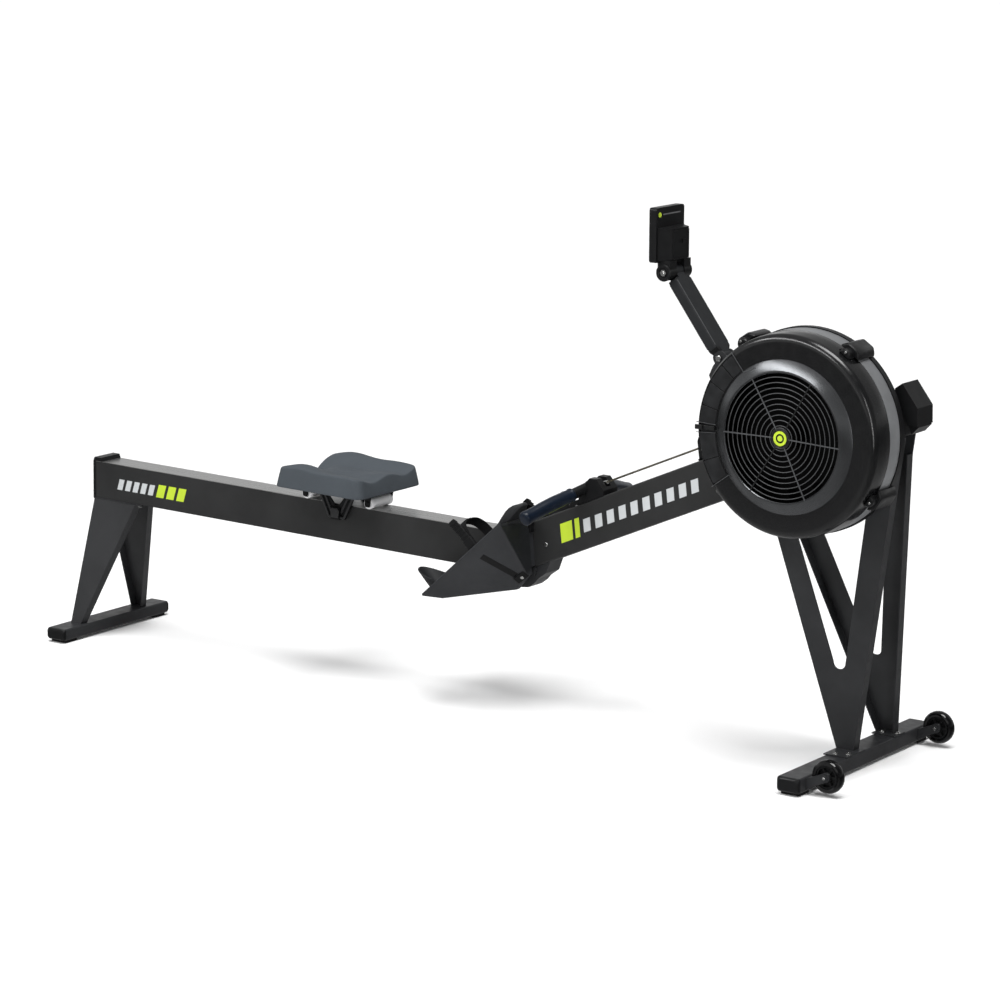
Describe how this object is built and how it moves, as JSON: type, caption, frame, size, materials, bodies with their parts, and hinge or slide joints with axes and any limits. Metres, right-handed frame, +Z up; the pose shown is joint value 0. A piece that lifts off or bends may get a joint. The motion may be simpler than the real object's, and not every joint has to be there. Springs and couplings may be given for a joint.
{
  "type": "rowing machine",
  "caption": "Air resistance rowing machine on tall legs with a sliding seat on a rail, footrests, pull handle and a caged flywheel beside a sloping beam.",
  "frame": {"origin": "on the floor, under the middle of the machine's overall box", "axes": "+X runs forward from the rail's rear end to the flywheel, +Y to the rower's left, +Z up; the flywheel drum is on the -Y side"},
  "size_m": [2.44, 0.61, 1.2385],
  "materials": {
    "black_steel": "satin powder coat",
    "black_aluminium": "satin anodised black",
    "steel_track": "brushed",
    "black_plastic": "satin moulded",
    "charcoal_plastic": "fine texture",
    "cone_grey": "satin metallic",
    "mesh_grey": "fine perforation",
    "gloss_black": "gloss",
    "black_rubber": "matt",
    "seat_foam": "moulded foam skin, matt",
    "grip_rubber": "satin",
    "roller_white": "nylon",
    "webbing": "woven",
    "chain_steel": "nickel plated",
    "bright_steel": "bright",
    "screen": "lcd window",
    "cord": "braided"
  },
  "bodies": {
    "frame": {"rear_foot_bar": "black_steel", "front_foot_bar": "black_steel", "foot_end_caps": "black_plastic", "foot_pads": "black_rubber", "rear_leg_near": "black_steel", "rear_leg_far": "black_steel", "rear_leg_plate": "black_steel", "rail_extrusion": "black_aluminium", "rail_track": "steel_track", "rail_end_cap": "black_plastic", "rail_joint_bracket": "black_steel", "main_beam": "black_aluminium", "beam_end_cap": "black_plastic", "front_leg_near": "black_steel", "front_leg_far": "black_steel", "caster_brackets": "black_steel", "drum_front_cover": "black_plastic", "drum_grille": "cone_grey", "drum_mesh_band": "mesh_grey", "drum_back_cover": "black_plastic", "drum_clips": "black_plastic", "axle_bearings": "bright_steel", "chain_guide": "black_plastic", "handle_cradle": "black_plastic", "footrest_bracket": "black_steel", "footrest_shell_near": "charcoal_plastic", "footrest_shell_far": "charcoal_plastic", "foot_strap_near": "webbing", "foot_strap_far": "webbing", "drive_chain": "chain_steel", "shock_cord": "cord", "monitor_arm_base": "black_steel", "frame_bolts": "bright_steel"},
    "flywheel": {"flywheel_fan": "black_plastic", "flywheel_axle": "bright_steel"},
    "sprocket": {"chain_sprocket": "chain_steel"},
    "guide_pulley": {"guide_pulley": "black_plastic"},
    "return_pulley": {"return_pulley": "black_plastic"},
    "handle": {"handle_core": "black_plastic", "handle_grips": "grip_rubber", "handle_hook": "bright_steel"},
    "seat": {"seat_pad": "seat_foam", "seat_carriage": "black_plastic"},
    "seat_roller_front": {"seat_roller_front": "roller_white"},
    "seat_roller_rear": {"seat_roller_rear": "roller_white"},
    "side_roller_near": {"side_roller_near": "roller_white"},
    "side_roller_far": {"side_roller_far": "roller_white"},
    "flexfoot_near": {"flexfoot_near": "charcoal_plastic"},
    "flexfoot_far": {"flexfoot_far": "charcoal_plastic"},
    "damper_lever": {"damper_lever": "black_plastic"},
    "caster_wheel_near": {"caster_wheel_near": "gloss_black"},
    "caster_wheel_far": {"caster_wheel_far": "gloss_black"},
    "arm": {"monitor_arm": "black_aluminium"},
    "monitor": {"monitor_case": "black_plastic", "monitor_screen": "screen"},
    "monitor_key_1": {"monitor_key_1": "black_rubber"},
    "monitor_key_2": {"monitor_key_2": "black_rubber"},
    "monitor_key_3": {"monitor_key_3": "black_rubber"},
    "monitor_key_4": {"monitor_key_4": "black_rubber"},
    "monitor_key_5": {"monitor_key_5": "black_rubber"}
  },
  "joints": [
    {"name": "seat_slide", "type": "slide", "parent": "frame", "child": "seat", "axis": [0.9998, 0, -0.0209], "range_m": [-0.66, 0.28]},
    {"name": "seat_roller_front_roll", "type": "hinge", "parent": "seat", "child": "seat_roller_front", "pos_m": [-0.29291, 0, 0.4489], "axis": [0, 1, 0], "continuous": true},
    {"name": "seat_roller_rear_roll", "type": "hinge", "parent": "seat", "child": "seat_roller_rear", "pos_m": [-0.48687, 0, 0.45297], "axis": [0, 1, 0], "continuous": true},
    {"name": "side_roller_near_roll", "type": "hinge", "parent": "seat", "child": "side_roller_near", "pos_m": [-0.39066, -0.0439, 0.41414], "axis": [0.0209, 0, 0.9998], "continuous": true},
    {"name": "side_roller_far_roll", "type": "hinge", "parent": "seat", "child": "side_roller_far", "pos_m": [-0.39066, 0.0439, 0.41414], "axis": [0.0209, 0, 0.9998], "continuous": true},
    {"name": "handle_pull", "type": "slide", "parent": "frame", "child": "handle", "axis": [-0.9564, 0, 0.2921], "range_m": [0, 1.1], "stiffness_N_per_m": 12, "springref_m": -0.8, "deforming": ["drive_chain", "shock_cord"]},
    {"name": "flywheel_spin", "type": "hinge", "parent": "frame", "child": "flywheel", "pos_m": [0.9673, 0, 0.7734], "axis": [0, 1, 0], "continuous": true},
    {"name": "sprocket_turn", "type": "hinge", "parent": "frame", "child": "sprocket", "pos_m": [0.9673, 0, 0.7734], "axis": [0, 1, 0], "continuous": true},
    {"name": "guide_pulley_turn", "type": "hinge", "parent": "frame", "child": "guide_pulley", "pos_m": [0.65145, 0, 0.70526], "axis": [0, 1, 0], "continuous": true},
    {"name": "return_pulley_turn", "type": "hinge", "parent": "frame", "child": "return_pulley", "pos_m": [0.27559, 0, 0.44033], "axis": [0, 1, 0], "continuous": true},
    {"name": "flexfoot_near_slide", "type": "slide", "parent": "frame", "child": "flexfoot_near", "axis": [0.7468, 0, 0.6651], "range_m": [0, 0.08]},
    {"name": "flexfoot_far_slide", "type": "slide", "parent": "frame", "child": "flexfoot_far", "axis": [0.7468, 0, 0.6651], "range_m": [0, 0.08]},
    {"name": "damper_turn", "type": "hinge", "parent": "frame", "child": "damper_lever", "pos_m": [0.9673, -0.18, 0.7734], "axis": [0, 1, 0], "range_deg": [-36, 36]},
    {"name": "caster_near_spin", "type": "hinge", "parent": "frame", "child": "caster_wheel_near", "pos_m": [1.141, -0.254, 0.0458], "axis": [0, 1, 0], "continuous": true},
    {"name": "caster_far_spin", "type": "hinge", "parent": "frame", "child": "caster_wheel_far", "pos_m": [1.141, 0.254, 0.0458], "axis": [0, 1, 0], "continuous": true},
    {"name": "monitor_arm_fold", "type": "hinge", "parent": "frame", "child": "arm", "pos_m": [0.7, 0, 0.904], "axis": [0, 1, 0], "range_deg": [-40, 20]},
    {"name": "monitor_tilt", "type": "hinge", "parent": "arm", "child": "monitor", "pos_m": [0.5615, 0, 1.09], "axis": [0, 1, 0], "range_deg": [-25, 35]},
    {"name": "monitor_key_1_press", "type": "slide", "parent": "monitor", "child": "monitor_key_1", "axis": [1, 0, 0], "range_m": [0, 0.0015], "stiffness_N_per_m": 600, "springref_m": -0.0008},
    {"name": "monitor_key_2_press", "type": "slide", "parent": "monitor", "child": "monitor_key_2", "axis": [1, 0, 0], "range_m": [0, 0.0015], "stiffness_N_per_m": 600, "springref_m": -0.0008},
    {"name": "monitor_key_3_press", "type": "slide", "parent": "monitor", "child": "monitor_key_3", "axis": [1, 0, 0], "range_m": [0, 0.0015], "stiffness_N_per_m": 600, "springref_m": -0.0008},
    {"name": "monitor_key_4_press", "type": "slide", "parent": "monitor", "child": "monitor_key_4", "axis": [1, 0, 0], "range_m": [0, 0.0015], "stiffness_N_per_m": 600, "springref_m": -0.0008},
    {"name": "monitor_key_5_press", "type": "slide", "parent": "monitor", "child": "monitor_key_5", "axis": [1, 0, 0], "range_m": [0, 0.0015], "stiffness_N_per_m": 600, "springref_m": -0.0008}
  ],
  "couplings": [
    {"joint": "seat_roller_front_roll", "follows": "seat_slide", "rad_per_m": 74.074},
    {"joint": "seat_roller_rear_roll", "follows": "seat_slide", "rad_per_m": 74.074},
    {"joint": "side_roller_near_roll", "follows": "seat_slide", "rad_per_m": 125},
    {"joint": "side_roller_far_roll", "follows": "seat_slide", "rad_per_m": -125},
    {"joint": "sprocket_turn", "follows": "handle_pull", "rad_per_m": -61.35},
    {"joint": "guide_pulley_turn", "follows": "handle_pull", "rad_per_m": 111.11},
    {"joint": "return_pulley_turn", "follows": "handle_pull", "rad_per_m": 62.5}
  ]
}
